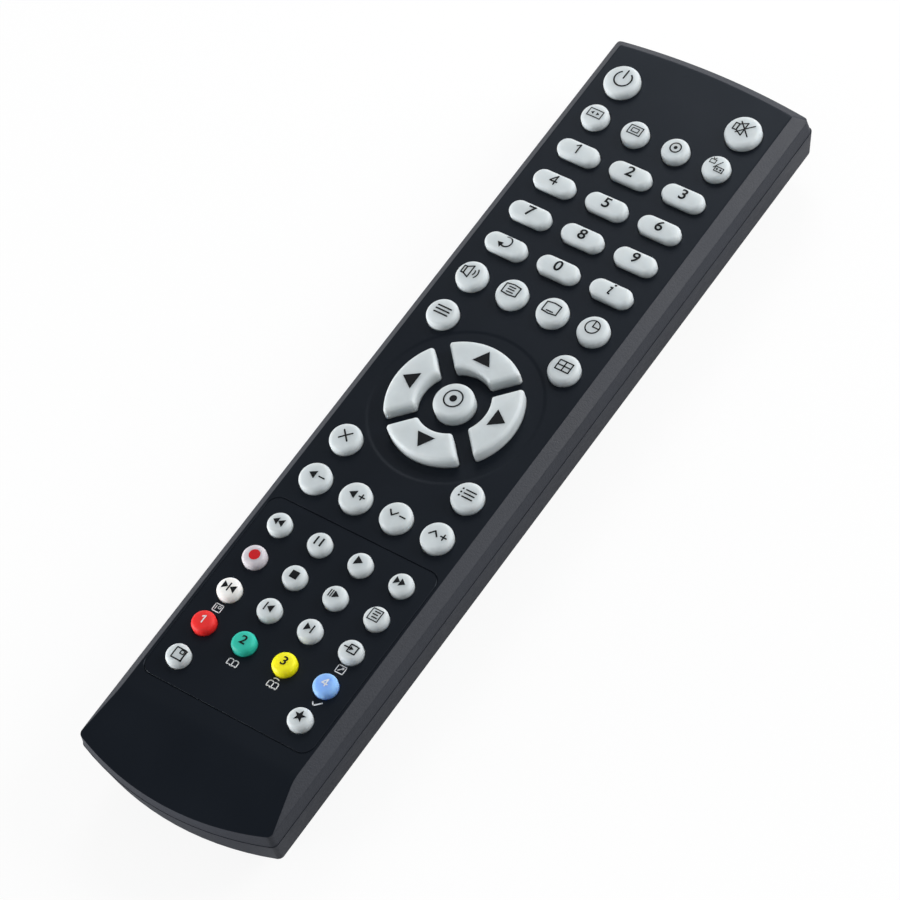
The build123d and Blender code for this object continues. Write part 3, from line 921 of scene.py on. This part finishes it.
MINUS = bar(1.0, 0, 2.35, 0, 0.34)
PLUS = MINUS + bar(1.68, -0.68, 1.68, 0.68, 0.34)
MARKS = {
    "key_power": bow(0.2, 0, 2.05, 125, 415, BOLD) + bar(0.2, 0.1, 0.2, 2.45, BOLD),
    "key_mute": box(-2.0, 0.1, 0.95, 1.75, PLAIN)
    + path([(-1.45, -0.75), (0.2, -1.65), (0.2, 1.9), (-1.45, 0.95)], PLAIN, True)
    + bar(-1.5, 1.75, 1.8, -1.35, PLAIN)
    + bar(-1.3, -1.35, 1.9, 1.85, PLAIN),
    "key_mode_1": box(0, 0, 3.4, 2.0, THIN) + wedge(-0.75, 0, 0.9, -1) + wedge(0.75, 0, 0.9, 1),
    "key_mode_2": box(0, 0, 3.2, 2.2, THIN) + box(0, 0, 1.7, 1.0, 0.24),
    "key_mode_3": bow(0, 0, 1.25, 0, 360, PLAIN) + disc(0, 0, 0.45),
    "key_mode_4": box(-1.3, 0.65, 1.4, 1.0, 0.22)
    + bar(-1.3, 1.2, -1.75, 1.75, 0.2)
    + bar(-1.3, 1.2, -0.9, 1.7, 0.2)
    + bar(-0.35, -0.75, 0.9, 1.3, 0.24)
    + box(1.1, -0.85, 2.0, 1.15, 0.24)
    + disc(0.65, -0.85, 0.26)
    + disc(1.55, -0.85, 0.26),
    "key_back": bow(0, 0.15, 1.35, -120, 118, 0.36)
    + [[(-1.85, -0.55), (-0.85, -1.75), (-0.35, -0.35)]],
    "key_info": disc(0.3, 1.35, 0.3)
    + path([(-0.4, 0.45), (0.08, 0.5), (-0.3, -1.1), (0.12, -1.2)], BOLD),
    "key_audio": box(-2.15, 0.05, 0.7, 1.8, PLAIN)
    + path([(-1.75, -0.85), (-0.35, -1.5), (-0.35, 1.7), (-1.75, 0.95)], PLAIN, True)
    + bow(-0.35, 0.1, 1.0, -42, 42, PLAIN)
    + bow(-0.35, 0.1, 1.8, -42, 42, PLAIN),
    "key_text": screen(-0.3, 0.1) + rows(-1.1, 0.5, (0.75, 0.1, -0.6), 0.3),
    "key_subtitle": screen(-0.3, 0.1) + bar(-1.1, -0.75, 0.5, -0.75, 0.3),
    "key_timer": bow(-0.3, 0.1, 1.65, 0, 360, PLAIN)
    + path([(-0.3, 1.7), (-0.3, 0.1), (1.3, 0.1)], PLAIN),
    "key_menu": rows(-1.7, 1.7, (0.9, 0, -0.9), BOLD),
    "key_guide": box(0, 0, 3.4, 2.4, PLAIN) + bar(0, -1.2, 0, 1.2, PLAIN) + bar(-1.7, 0, 1.7, 0, PLAIN),
    "key_exit": bar(-1.1, -1.1, 1.1, 1.1, BOLD) + bar(-1.1, 1.1, 1.1, -1.1, BOLD),
    "key_list": disc(-1.6, 0.9, 0.25)
    + disc(-1.6, 0, 0.25)
    + disc(-1.6, -0.9, 0.25)
    + rows(-0.8, 1.7, (0.9, 0, -0.9), 0.34),
    "key_ok": bow(-0.2, 0, 2.1, 0, 360, 0.36) + disc(-0.2, 0, 0.85),
    "key_volume_down": wedge(-0.75, 0, 2.1, -1) + MINUS,
    "key_volume_up": wedge(-0.75, 0, 2.1, -1) + PLUS,
    "key_channel_down": chevron(-1) + MINUS,
    "key_channel_up": chevron(1) + PLUS,
    "key_rewind": two_wedges(-1),
    "key_pause": block(-0.75, -0.1, 0.45, 2.1) + block(0.65, -0.1, 0.45, 2.1),
    "key_play": wedge(-0.15, -0.1, 2.3, 1, 1.9),
    "key_forward": two_wedges(1),
    "key_record": disc(0.2, -0.2, 1.27),
    "key_stop": block(0.15, -0.2, 1.85, 1.85),
    "key_slow": block(-1.3, -0.1, 0.3, 1.8)
    + block(-0.74, -0.1, 0.26, 1.8)
    + wedge(0.38, -0.1, 1.85, 1, 1.45),
    "key_bookmark": box(-0.2, -0.05, 2.55, 2.7, THIN)
    + bar(-0.6, 0.7, 0.6, 0.7, PLAIN)
    + bar(-0.75, 0, 0.35, 0, PLAIN)
    + bar(-0.6, -0.7, 0.6, -0.7, PLAIN),
    "key_jump": wedge(-0.8, -0.15, 2.0, 1, 1.4)
    + block(0.12, -0.15, 0.34, 2.1)
    + wedge(1.02, -0.15, 2.0, -1, 1.4),
    "key_previous": block(-0.8, -0.15, 0.34, 2.05) + wedge(0.3, -0.15, 2.05, -1, 1.45),
    "key_next": wedge(-0.35, -0.15, 2.05, 1, 1.45) + block(0.77, -0.15, 0.36, 2.05),
    "key_input": box(0.5, 0, 1.9, 1.9, PLAIN) + bar(-1.6, 0, 0.1, 0, PLAIN) + wedge(0.25, 0, 1.1),
    "key_picture": box(0.45, -0.25, 2.5, 2.55, PLAIN) + box(0.95, 0.35, 0.85, 0.85, THIN),
    "key_favourite": star(1.5),
}
for number, name in enumerate(["key_red", "key_green", "key_yellow", "key_blue"], 1):
    MARKS[name] = digit(str(number), COLOUR_DIGIT)
for number in range(10):
    MARKS[f"key_{number}"] = digit(str(number), DIGIT)
MARK_INK = {"key_red": WHITE_INK, "key_blue": WHITE_INK, "key_record": RED_INK}


def face_marks():
    """Signs on the face beside the colour keys: a page, a book, a book with a dome, a box and a tick."""
    page = box(-16.1, -62.1, 2.0, 1.8, 0.22) + bar(-16.6, -62.6, -16.6, -61.6, 0.2)
    page += box(-15.75, -61.85, 0.6, 0.55, 0.18)
    books = book(-5.15, -71.35, 0.24) + book(5.6, -71.55, 0.24) + bow(5.6, -71.0, 1.1, 50, 130, 0.24)
    ticked = box(16.3, -61.7, 2.0, 1.8, 0.22) + bar(15.8, -62.1, 16.6, -61.4, 0.22)
    ticked += disc(16.65, -61.35, 0.3, 12) + path([(15.6, -70.75), (16.15, -71.45), (17.6, -70.15)], 0.3)
    return page + books + ticked


def moved(polygons, x, y):
    """Polygons shifted in plan."""
    return [[(px + x, py + y) for px, py in polygon] for polygon in polygons]


def print_mark(name, polygons, material, height, body):
    """Thin printed shapes that lie just over the surface, with the height given as a function."""
    work = bmesh.new()
    for polygon in polygons:
        work.faces.new([work.verts.new((x, y, 0)) for x, y in polygon])
    for _ in range(4):
        bmesh.ops.triangulate(work, faces=work.faces[:])
        coarse = [edge for edge in work.edges if edge.calc_length() > PRINT_STEP]
        if not coarse:
            break
        bmesh.ops.subdivide_edges(work, edges=coarse, cuts=1)
    bmesh.ops.triangulate(work, faces=work.faces[:])
    points = [(v.co.x, v.co.y, height(v.co.x, v.co.y)) for v in work.verts]
    work.verts.index_update()
    faces = [tuple(v.index for v in face.verts) for face in work.faces]
    work.free()
    obj = add_object(name, points, faces, [material])
    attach(obj, body)


def key_surface(name):
    """Height of the print on a key: over its crowned top and its rolled edge."""
    shape, top = shapes[name], top_z(name)
    low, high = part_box(name)
    spine = max((high.x - low.x) - (high.y - low.y), 0) / 2 / MM

    def height(x, y):
        away = math.hypot(max(abs(x - shape.x) - spine, 0), y - shape.y)
        past = min(max((away - shape.reach - CENTRE_FLAT) / ROLL, 0), 0.9)
        fall = ROLL_DROP * (1 - math.sqrt(1 - past * past))
        return top - CROWN * min(away / shape.reach, 1) ** 2 - fall + KEY_INK_LIFT

    # The arrows of the direction keys lie along the flat middle of the ring
    return (lambda x, y: top + KEY_INK_LIFT) if name in TURNS else height


for name, polygons in MARKS.items():
    placed = moved(polygons, shapes[name].x + PRINT_X, shapes[name].y + PRINT_Y)
    look = MARK_INK.get(name, DARK_INK)
    print_mark(name + "_print", placed, look, key_surface(name), name + "_body")
for name, turn in TURNS.items():
    placed = moved([turned(ARROW, turn)], ARROW_X, ARROW_Y)
    print_mark(name + "_print", placed, DARK_INK, key_surface(name), name + "_body")
print_mark("face_print", face_marks(), WHITE_INK, lambda x, y: top_height(x, y) + FACE_INK_LIFT, "case")


# Model nodes that keep their own shape

NODE_LOOK = {
    "lower_case": LOWER,
    "battery_cover": LOWER,
    "keypad_mat": MAT,
    "circuit_board": BOARD,
    "battery_contacts": CONTACT,
    "batteries": CELL,
}


def soft_edges():
    """A modifier tree that shades a faceted node smoothly and keeps its real edges sharp."""
    group = bpy.data.node_groups.new("soft_edges", "GeometryNodeTree")
    group.interface.new_socket("Geometry", in_out="INPUT", socket_type="NodeSocketGeometry")
    group.interface.new_socket("Geometry", in_out="OUTPUT", socket_type="NodeSocketGeometry")
    start = group.nodes.new("NodeGroupInput")
    end = group.nodes.new("NodeGroupOutput")
    weld = group.nodes.new("GeometryNodeMergeByDistance")
    weld.inputs["Distance"].default_value = WELD * MM
    angle = group.nodes.new("GeometryNodeInputMeshEdgeAngle")
    blunt = group.nodes.new("FunctionNodeCompare")
    blunt.data_type = "FLOAT"
    blunt.operation = "LESS_THAN"
    blunt.inputs[1].default_value = SHARP_ANGLE
    faces = group.nodes.new("GeometryNodeSetShadeSmooth")
    edges = group.nodes.new("GeometryNodeSetShadeSmooth")
    edges.domain = "EDGE"
    group.links.new(start.outputs[0], weld.inputs["Geometry"])
    group.links.new(weld.outputs[0], faces.inputs["Geometry"])
    group.links.new(faces.outputs[0], edges.inputs["Geometry"])
    group.links.new(angle.outputs["Unsigned Angle"], blunt.inputs[0])
    group.links.new(blunt.outputs[0], edges.inputs["Shade Smooth"])
    group.links.new(edges.outputs[0], end.inputs[0])
    return group


def round_edges(obj, width):
    """A fine bevel along the real edges, with the flat faces left flat."""
    rounding = obj.modifiers.new("rounding", "BEVEL")
    rounding.width = width * MM
    rounding.segments = 2
    rounding.limit_method = "ANGLE"
    rounding.angle_limit = SHARP_ANGLE
    rounding.harden_normals = True


SOFT_EDGES = soft_edges()
for name, look in NODE_LOOK.items():
    obj = nodes[name]
    obj.data.materials.clear()
    obj.data.materials.append(look)
    obj.modifiers.new("soft_edges", "NODES").node_group = SOFT_EDGES
    if name in ROUNDING:
        round_edges(obj, ROUNDING[name])


# Floor, light and camera, in metres

FLOOR_SIZE = 6.0
SKY_STRENGTH = 0.45


def floor_paper():
    """Paper that looks nearly white and throws a mid grey back at the object, like an unlit table."""
    material, tree, shader, where = new_material("floor_paper")
    grain = noise(tree, where, scale=900.0, detail=3.0, rough=0.5)
    share = spread(tree, grain, 0.0, 1.0)
    seen = tree.nodes.new("ShaderNodeLightPath").outputs["Is Camera Ray"]
    paper = mixed(tree, share, (0.955, 0.955, 0.955, 1), (0.985, 0.985, 0.985, 1))
    bounce = mixed(tree, share, (0.59, 0.59, 0.60, 1), (0.65, 0.65, 0.66, 1))
    tree.links.new(mixed(tree, seen, bounce, paper), shader.inputs["Base Color"])
    shader.inputs["Roughness"].default_value = 0.9
    shader.inputs["Specular IOR Level"].default_value = 0.1
    # To the camera most of the paper is plain white, and the rest is its own shading, for the shadow
    glow = tree.nodes.new("ShaderNodeEmission")
    whiteness = tree.nodes.new("ShaderNodeMath")
    whiteness.operation = "MULTIPLY"
    whiteness.inputs[1].default_value = 0.9
    tree.links.new(seen, whiteness.inputs[0])
    sheet = tree.nodes.new("ShaderNodeMixShader")
    tree.links.new(whiteness.outputs[0], sheet.inputs[0])
    tree.links.new(shader.outputs[0], sheet.inputs[1])
    tree.links.new(glow.outputs[0], sheet.inputs[2])
    tree.links.new(sheet.outputs[0], tree.nodes["Material Output"].inputs[0])
    return material


def studio_world():
    """A soft pale sky that the camera sees as plain white."""
    world = bpy.data.worlds.new("studio")
    world.use_nodes = True
    tree = world.node_tree
    sky = tree.nodes["Background"]
    sky.inputs["Color"].default_value = (0.97, 0.98, 1.0, 1)
    sky.inputs["Strength"].default_value = SKY_STRENGTH
    white = tree.nodes.new("ShaderNodeBackground")
    white.inputs["Color"].default_value = (1, 1, 1, 1)
    white.inputs["Strength"].default_value = 1.0
    rays = tree.nodes.new("ShaderNodeLightPath")
    choose = tree.nodes.new("ShaderNodeMixShader")
    tree.links.new(rays.outputs["Is Camera Ray"], choose.inputs[0])
    tree.links.new(sky.outputs[0], choose.inputs[1])
    tree.links.new(white.outputs[0], choose.inputs[2])
    tree.links.new(choose.outputs[0], tree.nodes["World Output"].inputs[0])
    return world


def softbox(name, place, size, watts):
    """A rectangular area lamp that looks at the object."""
    data = bpy.data.lights.new(name, "AREA")
    data.shape = "RECTANGLE"
    data.size, data.size_y = size
    data.energy = watts
    lamp = bpy.data.objects.new(name, data)
    lamp.location = place
    lamp.rotation_mode = "QUATERNION"
    lamp.rotation_quaternion = (-Vector(place)).to_track_quat("-Z", "Y")
    scene.collection.objects.link(lamp)


# The photograph's camera, as solved from the key grid and the outline of the case
PICTURE_WIDTH = 900
FOCAL_PIXELS = 4404.468
SENSOR_WIDTH = 36.0
CAMERA_RIGHT = Vector((0.79822389, 0.56578151, -0.20671212))
CAMERA_DOWN = Vector((0.38392398, -0.74229857, -0.54917685))
CAMERA_FORWARD = Vector((-0.46415622, 0.35900434, -0.80973754))
CAMERA_PLACE = Vector((437.5239, -340.7920, 773.4723)) * MM


def photo_camera():
    """A camera at the photograph's viewing angle."""
    data = bpy.data.cameras.new("camera")
    data.sensor_width = SENSOR_WIDTH
    data.lens = FOCAL_PIXELS * SENSOR_WIDTH / PICTURE_WIDTH
    data.clip_start, data.clip_end = 0.05, 20.0
    camera = bpy.data.objects.new("camera", data)
    scene.collection.objects.link(camera)
    turn = Matrix((CAMERA_RIGHT, -CAMERA_DOWN, -CAMERA_FORWARD)).transposed()
    camera.rotation_mode = "QUATERNION"
    camera.rotation_quaternion = turn.to_quaternion()
    camera.location = CAMERA_PLACE
    return camera


bpy.ops.mesh.primitive_plane_add(size=FLOOR_SIZE, location=(0, 0, 0))
floor = bpy.context.active_object
floor.name = "floor"
floor.data.materials.append(floor_paper())
scene.world = studio_world()
softbox("near_light", (-0.80, -0.80, 0.08), (0.6, 0.12), watts=13.5)
softbox("far_light", (0.56, 0.60, 0.42), (0.5, 0.5), watts=6.0)
softbox("back_light", (-0.42, 0.85, 0.72), (0.5, 0.5), watts=4.5)
scene.camera = photo_camera()
scene.view_settings.view_transform = "Standard"
